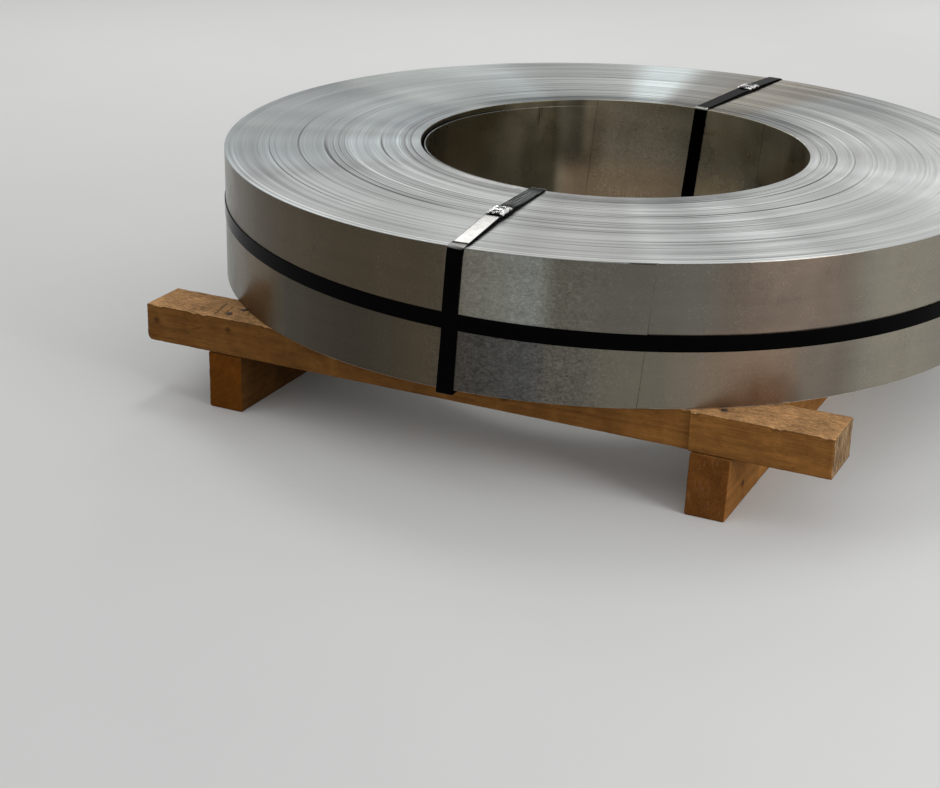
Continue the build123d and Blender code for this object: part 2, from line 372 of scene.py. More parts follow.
def make_piece(name, shells, materials, replaced, uv=None, face_materials=None, vectors=None):
    """One piece from shells of points and faces, each turned so that it faces outwards.

    The vectors are the mesh's own numbers for its materials, three for each point.
    """
    points, faces, start = [], [], 0
    for shell_points, shell_faces in shells:
        turned = volume(shell_points, shell_faces) < 0
        for face in shell_faces:
            corners = [start + corner for corner in face]
            faces.append(corners[::-1] if turned else corners)
        if turned and uv is not None:
            uv = uv[:, ::-1]
        points.append(shell_points)
        start += len(shell_points)
    mesh = bpy.data.meshes.new(name)
    mesh.from_pydata(np.concatenate(points).tolist(), [], faces)
    mesh.polygons.foreach_set("use_smooth", np.ones(len(faces), bool))
    for material in materials:
        mesh.materials.append(material)
    if face_materials is not None:
        mesh.polygons.foreach_set("material_index", face_materials.astype(np.int32))
    if uv is not None:
        mesh.uv_layers.new(name="turns").uv.foreach_set("vector", uv.astype(np.float32).ravel())
    for key, values in (vectors or {}).items():
        attribute = mesh.attributes.new(key, "FLOAT_VECTOR", "POINT")
        attribute.data.foreach_set("vector", values.astype(np.float32).ravel())
    mesh.update()
    piece = bpy.data.objects.new(name, mesh)
    bpy.context.scene.collection.objects.link(piece)
    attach(piece, "root")
    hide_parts(*replaced)
    return piece


# Material nodes


class Field:
    """A number, vector or colour that changes over a surface; numbers take the usual signs, each as one node."""

    def __init__(self, shader, socket):
        self.shader, self.socket = shader, socket

    def __add__(self, other):
        return self.shader.math("ADD", self, other)

    def __sub__(self, other):
        return self.shader.math("SUBTRACT", self, other)

    def __rsub__(self, other):
        return self.shader.math("SUBTRACT", other, self)

    def __mul__(self, other):
        return self.shader.math("MULTIPLY", self, other)

    def __truediv__(self, other):
        return self.shader.math("DIVIDE", self, other)

    def __abs__(self):
        return self.shader.math("ABSOLUTE", self)


class Shader:
    """A material's or world's nodes, with short ways to add the ones that it needs."""

    def __init__(self, owner):
        owner.use_nodes = True
        self.owner, self.tree = owner, owner.node_tree

    def plug(self, value, socket):
        """Links a field to a socket, or sets the socket to a plain value."""
        if isinstance(value, Field):
            self.tree.links.new(value.socket, socket)
        else:
            socket.default_value = value

    def node(self, kind, inputs=(), output=0, **settings):
        """One output of a new node; inputs are pairs of socket and value."""
        node = self.tree.nodes.new(kind)
        for key, value in settings.items():
            setattr(node, key, value)
        for socket, value in inputs:
            self.plug(value, node.inputs[socket])
        return Field(self, node.outputs[output])

    def math(self, operation, first, second=0.0):
        """One sum on numbers."""
        return self.node("ShaderNodeMath", [(0, first), (1, second)], operation=operation)

    def split(self, vector):
        """A vector's three numbers."""
        first = self.node("ShaderNodeSeparateXYZ", [(0, vector)])
        return [Field(self, socket) for socket in first.socket.node.outputs]

    def place(self):
        """Object coordinates, as three numbers."""
        return self.split(self.node("ShaderNodeTexCoord", output="Object"))

    def attribute(self, name):
        """A mesh's own vectors, as three numbers."""
        return self.split(self.node("ShaderNodeAttribute", output="Vector", attribute_name=name))

    def vector(self, x, y, z):
        """Three numbers as one vector."""
        return self.node("ShaderNodeCombineXYZ", [(0, x), (1, y), (2, z)])

    def noise(self, vector, scale, detail, roughness=0.55, distortion=0.0):
        """Smooth noise about 0.5."""
        inputs = [("Vector", vector), ("Scale", scale), ("Detail", detail), ("Roughness", roughness)]
        return self.node("ShaderNodeTexNoise", inputs + [("Distortion", distortion)], "Fac")

    def between(self, value, low, high, start=0.0, end=1.0, kind="SMOOTHSTEP"):
        """Goes from start where the value is low to end where it is high."""
        inputs = [("Value", value), ("From Min", low), ("From Max", high), ("To Min", start), ("To Max", end)]
        return self.node("ShaderNodeMapRange", inputs, interpolation_type=kind)

    def mix(self, share, first, second, blend="MIX"):
        """Two colours mixed."""
        first, second = (value if isinstance(value, Field) else (*value, 1) for value in (first, second))
        inputs = [(0, share), (6, first), (7, second)]
        return self.node("ShaderNodeMix", inputs, 2, data_type="RGBA", blend_type=blend, clamp_factor=True)

    def tone(self, colour, amount):
        """A colour made lighter or darker by a number that is 1 where it stays."""
        return self.mix(1.0, colour, self.vector(amount, amount, amount), "MULTIPLY")

    def tint(self, share, colour, by):
        """A colour multiplied by another one where the share is 1."""
        return self.mix(share, colour, self.mix(1.0, colour, by, "MULTIPLY"))

    def bump(self, height, distance, strength):
        """Relief whose full height is the distance."""
        return self.node("ShaderNodeBump", [("Height", height), ("Distance", distance), ("Strength", strength)])

    def finish(self, **values):
        """Sets or links the sockets of the material's surface, named with _ for a space."""
        for key, value in values.items():
            self.plug(value, self.tree.nodes["Principled BSDF"].inputs[key.replace("_", " ")])
        return self.owner


def new_material(name):
    """A new material's nodes."""
    return Shader(bpy.data.materials.new(name))


def polar(s, x, y):
    """Distance from the coil's axis, and the cosine and sine of the azimuth."""
    radius = s.math("SQRT", x * x + y * y)
    return radius, x / radius, y / radius


def near_azimuth(s, east, north, centre, half, soft):
    """1 within half a width of an azimuth and 0 outside, from the cosine of the angle between them.

    All three are in degrees, and soft is half the width of the edge.
    """
    middle = math.radians(centre)
    nearness = east * math.cos(middle) + north * math.sin(middle)
    return s.between(nearness, math.cos(math.radians(half + soft)), math.cos(math.radians(max(half - soft, 0))))


def turned_metal(s, anisotropic, **values):
    """Finishes a metal whose light is drawn out across the turns."""
    tangent = s.node("ShaderNodeTangent", direction_type="UV_MAP", uv_map="turns")
    return s.finish(Metallic=1.0, Anisotropic=anisotropic, Anisotropic_Rotation=0.25, Tangent=tangent, **values)


def slit_edge_metal(strip):
    """Bright cut edges: lines and bands of turns in their own tones, painted shade in the gaps, painted glints, sectors
    of painted highlight and shade, and light drawn out across them.
    """
    s = new_material("slit_edge_steel")
    x, y, _ = s.place()
    radius, east, north = polar(s, x, y)

    def rings(across, around, detail, roughness=0.6, shift=0.0):
        """Noise that changes quickly over the radius, by cycles for each metre, and slowly round the coil."""
        place = s.vector(radius * across + shift, east * around, north * around)
        return s.noise(place, 1.0, detail, roughness)

    line, middling = rings(430.0, 0.7, 4.0, 0.8), rings(240.0, 0.6, 3.0, 0.75, 5.9)
    band, broad = rings(80.0, 0.5, 3.0, 0.65, 7.3), rings(26.0, 0.6, 2.0, 0.5, 3.1)
    fade = s.noise(s.vector(east, north, radius * 14.0), 1.3, 2.0)
    # How strongly the lines show: less at the left and right, more near the bore.
    worn = s.between(abs(east), 0.60, 0.95, 1.0, 0.45) + s.between(radius, 0.26, 0.40, 0.35, 0.0)
    outer_rim = s.between(radius, strip.outside_radius - 11 * MM, strip.outside_radius - 9 * MM)
    inner_rim = s.between(radius, strip.bore_radius + 11 * MM, strip.bore_radius + 13 * MM, 1.0, 0.0)
    lines = worn * s.between(s.math("MAXIMUM", outer_rim, inner_rim), 0, 1, 1.0, 0.25)

    tone = (line - 0.5) * 1.3 + s.between(middling, 0.38, 0.62, -0.17, 0.17)
    tone = (tone + s.between(band, 0.36, 0.64, -0.11, 0.11)) * lines
    tone = tone + (broad - 0.5) * 0.30 + (fade - 0.5) * 0.20
    # Painted shade near the bore, strongest at the front and rear.
    painted_shade_by_bore = s.between(radius, strip.bore_radius + 20 * MM, strip.bore_radius + 60 * MM, -0.36, 0.0)
    tone = tone + painted_shade_by_bore * s.between(abs(north), 0.35, 0.8)
    colour = s.tone(strip.edge_colour, tone + 1.0)
    # Painted highlight and painted shade, sector by sector.
    for centre, half, soft, by in PAINTED_TOP_SECTORS:
        colour = s.tint(near_azimuth(s, east, north, centre, half, soft), colour, by)
    # Painted shade over the outer half of the top at the left back.
    back_left_painted_shade = near_azimuth(s, east, north, 180, 36, 9) * s.between(radius, 0.33, 0.39)
    colour = s.tint(back_left_painted_shade, colour, (0.77, 0.77, 0.77))
    # Painted reflection: a cooler tint towards -X and the back.
    colour = s.tint(s.between(north * 0.3 - east, 0.1, 0.9), colour, (0.95, 1.0, 1.03))

    shown = s.between(fade + worn * 0.25, 0.45, 0.75, 0.15, 0.9)
    # Painted shade in gaps between the turns.
    gap = s.between(rings(280.0, 0.45, 2.0, 0.5, 11.9), 0.61, 0.68) * shown
    glint = s.between(rings(290.0, 0.8, 2.0, 0.5, 17.1), 0.62, 0.69) * (lines * 0.7)
    for depth in (3 * MM, 10 * MM):
        beside = abs(strip.outside_radius - radius - depth) + fade * 0.0016
        bright = s.between(beside, 1.8 * MM, 3 * MM, 1.0, 0.0) * s.between(north, -0.80, -0.40, 1.0, 0.0)
        glint = s.math("MAXIMUM", glint, bright)
    colour = s.tint(glint, colour, (1.55, 1.55, 1.55))
    # A line of painted shade in a gap near the bore's rim.
    bore_gap_shade = s.between(abs(radius - (strip.bore_radius + 13.5 * MM)), 0.3 * MM, 1.3 * MM, 0.7, 0.0)
    colour = s.mix(s.math("MAXIMUM", gap, bore_gap_shade), colour, (0.085, 0.088, 0.085))
    # Painted shade in the gap at the tail's end, by the outer rim.
    slit = near_azimuth(s, east, north, math.degrees(strip.tail_azimuth) - 1.7, 1.7, 0.4)
    slit = slit * s.between(radius, strip.outside_radius - 2.2 * MM, strip.outside_radius - 1.6 * MM)
    colour = s.mix(slit, colour, (0.03, 0.028, 0.024))

    turn = (radius - strip.bore_radius) / strip.gauge
    seam = s.between(abs(turn - s.math("FLOOR", turn) - 0.5), 0.36, 0.5, 1.0, 0.0)
    burr = rings(2500.0, 30.0, 2.0)
    relief = seam * 0.6 + burr * 0.5 + (line + middling) * 1.2
    rough = s.between(line * 0.5 + band * 0.5, 0.35, 0.65, 0.38, 0.54) - inner_rim * 0.10
    return turned_metal(s, 0.95, Base_Color=colour, Roughness=rough, Normal=s.bump(relief, 0.12 * MM, 0.5))


def strip_face_metal(name, strip, base, bands, seams, divide, sparkling, mottled, mottling):
    """Galvanised face of the strip: satin, finely grained, with soft upright bands of painted reflection and shade,
    smudges and rolling lines.

    Bands change between the two heights of the divide, and sparkling is how much brighter the grains are under it.
    Mottled is a blotchy stretch's azimuth, half width and softness, and mottling its strength over and under the
    divide. Seams are where an end of the strip leaves a thin line of painted shade that slants like it: the azimuth
    at the top, the way that it slants and how dark it is.
    """
    s = new_material(name)
    x, y, z = s.place()
    _, east, north = polar(s, x, y)

    def around(turns, up, detail, roughness=0.6):
        """Noise with its own scales round the coil and up."""
        return s.noise(s.vector(east * turns, north * turns, z * up), 1.0, detail, roughness)

    place = s.vector(x, y, z)
    smudge = s.noise(place, 14.0, 5.0, 0.6, 0.4)
    grain = s.noise(place, 430.0, 3.0, 0.65)
    cloud = s.noise(place, 22.0, 3.0, 0.6)
    blotch = s.noise(place, 150.0, 5.0, 0.8)
    dash = around(95.0, 420.0, 4.0, 0.75)
    rolling = around(3.0, 1800.0, 2.0)
    upright, broad, level = around(9.0, 1.6, 3.0), around(2.2, 0.8, 2.0), around(1.2, 60.0, 3.0)
    tone = (upright - 0.5) * 0.30 + 1.0
    for field, amount in ((broad, 0.22), (level, 0.20), (smudge, 0.26), (grain, 0.30), (rolling, 0.12)):
        tone = tone + (field - 0.5) * amount
    below = s.between(z, divide[0], divide[1], 1.0, 0.0)
    mottle = blotch - 0.5 + (dash - 0.5) * 1.2 + (grain - 0.5) * 0.5
    tone = tone + mottle * (near_azimuth(s, east, north, *mottled) * s.between(below, 0, 1, *mottling))
    colour = s.tone(base, tone)
    # Painted reflection and painted shade in upright bands.
    for centre, half, soft, over, under, by in bands:
        inside = near_azimuth(s, east, north, centre, half, soft)
        colour = s.tint(inside * s.between(below, 0, 1, over, under, "LINEAR"), colour, by)
    sparkle = s.between(grain, 0.56, 0.68) * s.between(cloud, 0.44, 0.60)
    colour = s.tone(colour, sparkle * s.between(below, 0, 1, 0.30, sparkling, "LINEAR") + 1.0)
    depth = (strip.top - z) / (strip.top - strip.underside)
    # A thin line of painted shade beside each end of the strip.
    for azimuth, way, strength in seams:
        aside = y * math.cos(azimuth) - x * math.sin(azimuth)
        ahead = x * math.cos(azimuth) + y * math.sin(azimuth)
        off = abs(aside - depth * (way * strip.end_slant)) + (grain - 0.5) * 0.0012
        thin = s.between(off, 0.2 * MM, 1.1 * MM, 1.0, 0.0) * s.between(ahead, 0.0, 10 * MM)
        dark = thin * s.between(cloud, 0.35, 0.65, 0.6 * strength, strength)
        colour = s.mix(dark, colour, (0.030, 0.026, 0.018))
    rough = s.between(smudge, 0.3, 0.7, 0.25, 0.36)
    return turned_metal(s, 0.35, Base_Color=colour, Roughness=rough, Normal=s.bump(rolling, 0.02 * MM, 0.5))


def strap_paint(straps):
    """Black baked paint: glossy, with small chips, lengthwise scuffs with painted sheen, and rims that show grey steel.
    """
    s = new_material("strap_paint")
    x, y, z = s.place()
    place = s.vector(x, y, z)
    cloud = s.noise(place, 60.0, 4.0, 0.6)
    chips = s.noise(place, 900.0, 3.0, 0.6)
    chip = s.between(chips, 0.70, 0.76) * s.between(cloud, 0.52, 0.66)
    colour = s.mix(s.between(cloud, 0.3, 0.75, 0.0, 0.5), straps.paint_colour, (0.0010, 0.0010, 0.0011))
    colour = s.mix(chip * 0.8, colour, (0.06, 0.06, 0.058))
    rubbed_and_lit, scuffs_and_sheen, aside = s.attribute("rubbed_and_lit")
    streak = s.noise(s.vector(aside * 700.0, y * 18.0, 0.0), 1.0, 3.0, 0.6)
    # Scuffs and painted sheen: paler grey streaks on the front strap's far run.
    colour = s.mix(scuffs_and_sheen * s.between(streak, 0.40, 0.62, 0.10, 1.0), colour, (0.20, 0.202, 0.205))
    patchy = cloud + chips * 0.3
    bare = rubbed_and_lit * s.between(patchy, 0.45, 0.58)
    colour = s.mix(bare, colour, (0.60, 0.59, 0.55))
    rough, relief = s.between(patchy, 0.35, 0.95, 0.08, 0.13), s.bump(cloud, 0.2 * MM, 0.2)
    return s.finish(Base_Color=colour, Metallic=bare, Roughness=rough, Normal=relief, Specular_IOR_Level=0.022)


def seal_metal(straps):
    """Pressed steel: bright on the wings and edges that the crimps bend up, with near-black painted shade over its
    middle and hollows.
    """
    s = new_material("seal_steel")
    place = s.vector(*s.place())
    cloud = s.noise(place, 300.0, 4.0, 0.6)
    scratch = s.noise(place, 1400.0, 2.0, 0.6, 0.5)
    share = s.between(s.attribute("rubbed_and_lit")[0] + (cloud - 0.5) * 0.7, 0.35, 0.55)
    bright = s.tone(straps.seal_colour, s.between(cloud, 0.25, 0.75, 0.75, 1.15))
    # Near-black painted shade where the bright share is low.
    colour = s.mix(share, (0.035, 0.035, 0.036), bright)
    rough = s.between(scratch, 0.25, 0.75, 0.18, 0.32)
    return s.finish(Base_Color=colour, Metallic=0.8, Roughness=rough, Normal=s.bump(scratch, 0.1 * MM, 0.5))


def rough_sawn_wood(skid, nails):
    """Rough sawn softwood: streaks along the grain, a pale torn top, rings on its ends, knots, cuts and nail stains."""
    s = new_material("rough_sawn_timber")
    x, y, z = s.place()
    along, across, up = s.attribute("plank")
    end, paleness, own = s.attribute("plank_end")

    def grain(along_scale, across_scale, detail, roughness=0.6, up_scale=None):
        """Noise that changes slowly along the wood and quickly across it."""
        place = s.vector(along * along_scale, across * across_scale, up * (up_scale or across_scale))
        return s.noise(place, 1.0, detail, roughness)

    wander = grain(2.2, 16.0, 3.0)
    from_pith_x, from_pith_y = across + 55 * MM, up + 82 * MM
    pith = s.math("SQRT", from_pith_x * from_pith_x + from_pith_y * from_pith_y)
    ring = s.math("FRACT", (pith + wander * 0.055) * 130.0)
    late = s.between(ring, 0.30, 0.85) * s.between(ring, 0.90, 1.0, 1.0, 0.0)
    saw = s.noise(s.vector((along + across * 0.12) * 420.0, across * 8.0, up * 8.0), 1.0, 2.0)
    fibre, streak, flecks = grain(16.0, 640.0, 4.0, 0.65), grain(7.0, 120.0, 4.0), grain(55.0, 190.0, 4.0, 0.75)
    torn, fuzz = grain(60.0, 330.0, 4.0, 0.75), grain(210.0, 430.0, 4.0, 0.75)
    shred = grain(200.0, 300.0, 4.0, 0.7, 45.0)
    blotch = s.noise(s.vector(along, across, up), 30.0, 5.0, 0.65, 0.3)

    def mottled(colour, *parts):
        """A colour toned by fields, each with its own amount."""
        tone = 1.0
        for field, amount in parts:
            tone = (field - 0.5) * amount + tone
        return s.tone(colour, tone)

    face = mottled(skid.face_colour, (fibre, 0.9), (streak, 0.9), (blotch, 1.2), (late, -0.10), (torn, 0.7))
    face = s.mix(s.between(flecks, 0.58, 0.70) * 0.55, face, (0.045, 0.018, 0.004))
    face = s.mix(s.between(blotch, 0.56, 0.70) * 0.40, face, (0.28, 0.14, 0.038))
    # Faces darker towards -X, and toned by each timber's own brightness, whose half on the left bearer is painted
    # shade.
    face = s.tone(face, own * s.between(x, -0.35, 0.35, 0.84, 1.04))
    facing = s.split(s.node("ShaderNodeTexCoord", output="Normal"))[2]
    facing_up = s.between(facing, 0.50, 0.80) * s.between(paleness, 0.3, 0.5)
    top = mottled(skid.top_colour, (fuzz, 2.2), (torn, 1.8), (fibre, 1.0), (blotch, 1.8))
    top = s.mix(s.between(torn + fuzz, 0.78, 0.90, 1.0, 0.0) * 0.40, top, (0.20, 0.10, 0.042))
    colour = s.mix(facing_up, face, top)
    edge = s.between(facing, 0.08, 0.30) * s.between(facing, 0.55, 0.75, 1.0, 0.0)
    colour = s.mix(edge * s.between(torn, 0.44, 0.56) * 0.65, colour, (0.055, 0.024, 0.008))

    cut = s.mix(paleness, skid.end_colour, skid.pale_end_colour)
    cut = mottled(cut, (blotch, 1.2), (late, -0.10), (fuzz, 1.0))
    cut = s.mix(s.between(shred, 0.50, 0.60) * (paleness * 0.8), cut, (0.045, 0.022, 0.010))
    cut = s.mix(s.between(shred, 0.44, 0.34) * (paleness * 0.8), cut, (0.52, 0.40, 0.26))
    cut = s.mix(s.between(flecks, 0.60, 0.72) * s.between(paleness, 0.0, 0.5, 0.35, 0.0), cut, (0.26, 0.15, 0.06))
    colour = s.mix(s.between(end, 0.3, 0.7), colour, cut)

    uneven = (torn - 0.5) * 0.010
    place = s.vector(x, y, z)
    stains = tuple(((*nail, 120.5 * MM), 2.4 * MM, 4.6 * MM, (0.012, 0.008, 0.005)) for nail in nails)
    for spot, near, far, dark in stains + TIMBER_MARKS:
        gap = s.node("ShaderNodeVectorMath", [(0, place), (1, spot)], "Value", operation="DISTANCE")
        colour = s.mix(s.between(gap + uneven, near, far, 1.0, 0.0) * 0.85, colour, dark)
    for start, stop, half in TOP_CUTS:
        middle, reach = (np.array(start) + stop) / 2, np.array(stop) - start
        size = math.hypot(*reach)
        ahead, aside = (float(share) for share in reach / size)
        east, north = x - float(middle[0]), y - float(middle[1])
        run = east * ahead + north * aside
        off = abs(east * aside - north * ahead) + uneven * 0.12
        inside = s.between(off, half * 0.4, half, 1.0, 0.0) * s.between(abs(run), size * 0.35, size * 0.5, 1.0, 0.0)
        colour = s.mix(inside * facing_up * 0.75, colour, (0.035, 0.015, 0.006))
    relief = s.bump(fibre * 0.35 + saw * 0.25 + fuzz * s.between(facing_up, 0, 1, 0.45, 1.6), 1.4 * MM, 0.9)
    rough = s.between(torn, 0.2, 0.8, 0.72, 0.95)
    return s.finish(Base_Color=colour, Metallic=0.0, Roughness=rough, Normal=relief, Specular_IOR_Level=0.08)


def nail_metal(skid):
    """Dull wire nail with a little rust."""
    s = new_material("nail_steel")
    rust = s.noise(s.vector(*s.place()), 500.0, 4.0, 0.7)
    colour = s.mix(s.between(rust, 0.45, 0.7), skid.nail_colour, (0.13, 0.055, 0.025))
    rough, relief = s.between(rust, 0.3, 0.7, 0.4, 0.8), s.bump(rust, 0.3 * MM, 0.6)
    return s.finish(Base_Color=colour, Metallic=0.6, Roughness=rough, Normal=relief)


# Shapes


def coil_rows(strip, around):
    """Radius, height and material of the coil's section, row by row, at each azimuth.

    Up the bore, out over the middle of every turn, down the wall and back underneath. A turn's height is its band's
    height, plus a part of its own that changes slowly round the coil. The wall's radius grows by one gauge in a turn,
    from just past the tail round to the tail itself, where it steps back. A row's material is that of the faces
    between it and the next row.
    """
    turns = round((strip.outside_radius - strip.bore_radius) / strip.gauge)
    pitch = (strip.outside_radius - strip.bore_radius) / turns
    order = np.arange(turns)
    past_tail = np.mod((around - strip.tail_azimuth) / FULL_TURN, 1)
    thinning = pitch * (1 - past_tail)
    rng = np.random.default_rng(5)
    widths = rng.choice([2, 3, 4, 5, 6, 8, 10, 13], turns)
    bands = np.repeat(order, widths)[:turns]
    band_height = rng.uniform(-1, 1, turns)[bands]
    proud = np.where(rng.random(turns) > 0.93, rng.uniform(-1, 1, turns), 0)
    inner_share = 1 - 0.55 * smooth(0.15, 0.75, order / turns)
    own = 0.40 * band_height[:, None] + 0.18 * ring_noise(turns, around, 5, 11) + 0.30 * proud[:, None]
    own = own * inner_share[:, None] + 0.22 * ring_noise(1, around, 4, 12)
    turn_top = strip.top - strip.unevenness + strip.unevenness * np.clip(0.5 + 0.5 * own, 0.0, 0.97)
    tail_sag, sag_reach = 1.3 * MM, math.radians(5.0)
    turn_top[-1] -= tail_sag * np.exp(-(1 - past_tail) * FULL_TURN / sag_reach)
    slide = np.clip(1 - (turns - 1 - order) / 4, 0, 1)
    turn_radius = strip.bore_radius + pitch * (order[:, None] + 0.5) - slide[:, None] * thinning

    bore, wall = np.full_like(around, strip.bore_radius), strip.outside_radius - thinning
    inner_top, outer_top = turn_top[0], turn_top[-1]
    bottom = np.full_like(around, strip.underside + strip.unevenness * 0.5)
    chamfer = 0.3 * MM

    def plain_face(radius, start, end):
        """Rows of a face between two heights."""
        return [(radius, start + share * (end - start)) for share in np.linspace(0, 1, 9)]

    up_bore = [(bore, bottom + chamfer), *plain_face(bore, bottom + 3 * chamfer, inner_top - 3 * chamfer)]
    up_bore += [(bore, inner_top - chamfer)]
    over_turns = [(bore + chamfer, inner_top), *zip(turn_radius[:-1], turn_top[:-1])]
    last_step = [(wall - pitch, turn_top[-2])]
    last_turn = [(wall - pitch + 0.02 * MM, outer_top), (wall - chamfer, outer_top)]
    down_wall = [(wall, outer_top - chamfer), *plain_face(wall, outer_top - 3 * chamfer, bottom + 3 * chamfer)]
    under = np.arange(turns - 4, 2, -4)
    under_height = strip.underside + strip.unevenness * (0.5 + 0.45 * ring_noise(len(under), around, 5, 13))
    under_radius = np.repeat(strip.bore_radius + pitch * (under[:, None] + 0.5), len(around), axis=1)
    underneath = [(wall, bottom + chamfer), (wall - chamfer, bottom), *zip(under_radius, under_height)]
    underneath += [(bore + chamfer, bottom)]

    parts = [(up_bore, BORE), (over_turns, EDGE), (last_step, WALL), (last_turn, EDGE), (down_wall, WALL)]
    parts += [(underneath, EDGE)]
    radius, height = (np.array([row[i] for rows, _ in parts for row in rows]) for i in (0, 1))
    return radius, height, np.concatenate([np.full(len(rows), slot) for rows, slot in parts])


def wind_coil(strip, materials):
    """The wound strip in one piece: every ring of points is one line of the section carried round the axis."""
    even = np.linspace(0, FULL_TURN, 288, endpoint=False)
    beside_seam = np.mod(strip.tail_azimuth + math.radians(0.02) * np.array([-4, -1, 1, 4]), FULL_TURN)
    around = np.sort(np.concatenate([even, beside_seam]))
    radius, height, slots = coil_rows(strip, around)
    from_tail = np.abs(np.mod(around - strip.tail_azimuth + math.pi, FULL_TURN) - math.pi)
    depth = np.clip((strip.top - height) / (strip.top - strip.underside), 0, 1)
    depth = depth * smooth(0, 30 * MM, radius - strip.outside_radius + 40 * MM)
    turned = around - strip.end_slant / strip.outside_radius * depth * smooth(0.35, 0.08, from_tail)
    points = round_axis(radius, turned, height)
    rows, columns = points.shape[:2]
    shell = (points.reshape(-1, 3), grid_faces(rows, columns, True).tolist())
    uv, slots = grid_uv(rows + 1, columns + 1), np.repeat(slots, columns)
    make_piece("strip_windings", [shell], materials, ["strip_coil"], uv, slots)


def lead_turn(strip, materials):
    """The loose innermost turn: a thin strip along the bore, with a crease near its top.

    Its drop and gap fade out from its end to where it is tight.
    """
    share = np.sort(np.concatenate([np.linspace(0, 1, 170), np.linspace(0.10, 0.16, 24), [0.0006]]))
    around = strip.lead_azimuth + share * (strip.lead_join - strip.lead_azimuth)
    gap = strip.lead_gap * np.sin(np.pi * share) ** 1.3
    drop = strip.lead_drop * np.cos(np.pi / 2 * share) ** 2
    into_coil = 1.4 * MM * smooth(0.97, 1.0, share)
    outer = strip.bore_radius - 0.05 * MM - gap + into_coil
    inner = outer - strip.gauge
    top = strip.top - 0.6 * MM - drop
    bottom = top - (strip.top - strip.underside - 1.2 * MM)
    edge = 0.2 * MM
    levels = np.linspace(0, 1, 7)
    span = top - bottom - 6 * edge
    ring = [(inner + edge, bottom), (inner, bottom + edge)]
    ring += [(inner, bottom + 3 * edge + level * span) for level in levels]
    ring += [(inner, top - edge), (inner + edge, top), (outer - edge, top), (outer, top - edge)]
    ring += [(outer, top - 3 * edge - level * span) for level in levels]
    ring += [(outer, bottom + edge), (outer - edge, bottom)]
    radius, height = (np.array([pair[i] for pair in ring]).T for i in (0, 1))
    slant = strip.end_slant / strip.bore_radius * np.clip((strip.top - height) / (strip.top - strip.underside), 0, 1)
    turned = around[:, None] + slant * smooth(0.2, 0.0, share)[:, None]
    crease = hump(math.radians(LEAD_CREASE), math.radians(0.4), turned - slant)
    radius = radius + 0.9 * MM * crease * smooth(strip.top - 45 * MM, strip.top - 20 * MM, height)
    points = round_axis(radius, turned, height)
    rows, columns = points.shape[:2]
    inside = np.zeros(columns, int)
    inside[1 : len(levels) + 2] = 1
    slots = np.concatenate([np.tile(inside, rows - 1), np.ones(2 * columns, int)])
    shell = closed_tube(points)
    piece = make_piece("lead_turn", [shell], materials, ["strip_coil"], None, slots)
    u, v = np.meshgrid(np.linspace(0, 1, rows), np.linspace(0, 1, columns), indexing="ij")
    at = np.concatenate([np.stack([u.ravel(), v.ravel()], axis=-1), [(0, 0.5), (1, 0.5)]])
    corner = np.zeros(len(piece.data.loops), np.int32)
    piece.data.loops.foreach_get("vertex_index", corner)
    piece.data.uv_layers.new(name="turns").uv.foreach_set("vector", at[corner].astype(np.float32).ravel())


def strap_section(width, thickness):
    """A flat bar's outline with rounded corners, and points near them that keep its faces flat: across, then up."""
    corner = 0.28 * MM
    turn = np.radians([0, 45, 90])
    arc = corner * np.stack([np.cos(turn), np.sin(turn)], axis=-1)
    right = np.concatenate([arc, [[-0.5 * MM, corner]]]) + (width / 2 - corner, thickness / 2 - corner)
    upper = np.concatenate([right, right[::-1] * (-1, 1)])
    return np.concatenate([upper, -upper])


def carry(section, path, across, up):
    """A section carried along a path: each point is the path's, plus the first number across and the second up."""
    return path[:, None] + section[None, :, :1] * across[:, None] + section[None, :, 1:] * up[:, None]


def even_steps(corners, bends, step):
    """A closed run through the corners at even steps.

    Each corner is swept by the curve that halves the way between its sides, from one bend before it to one after.
    """
    before = np.roll(corners, 1, axis=0) - corners
    after = np.roll(corners, -1, axis=0) - corners
    before = corners + before * (bends / np.linalg.norm(before, axis=1))[:, None]
    after = corners + after * (bends / np.linalg.norm(after, axis=1))[:, None]
    t = np.linspace(0, 1, 12)[None, :, None]
    swept = (1 - t) ** 2 * before[:, None] + 2 * t * (1 - t) * corners[:, None] + t**2 * after[:, None]
    run = swept.reshape(-1, 3)
    run = np.concatenate([run, run[:1]])
    far = np.concatenate([[0], np.cumsum(np.linalg.norm(np.diff(run, axis=0), axis=1))])
    places = np.linspace(0, far[-1], round(far[-1] / step), endpoint=False)
    return np.stack([np.interp(places, far, run[:, i]) for i in range(3)], axis=-1)


def belly_at(strip, straps, azimuth):
    """Height of the middle of the strap round the wall, and its rise for each metre along the wall."""
    turned = azimuth - straps.belly_high_azimuth
    steepness = math.tan(straps.belly_slope)
    return straps.belly_height + strip.outside_radius * steepness * np.cos(turned), -steepness * np.sin(turned)


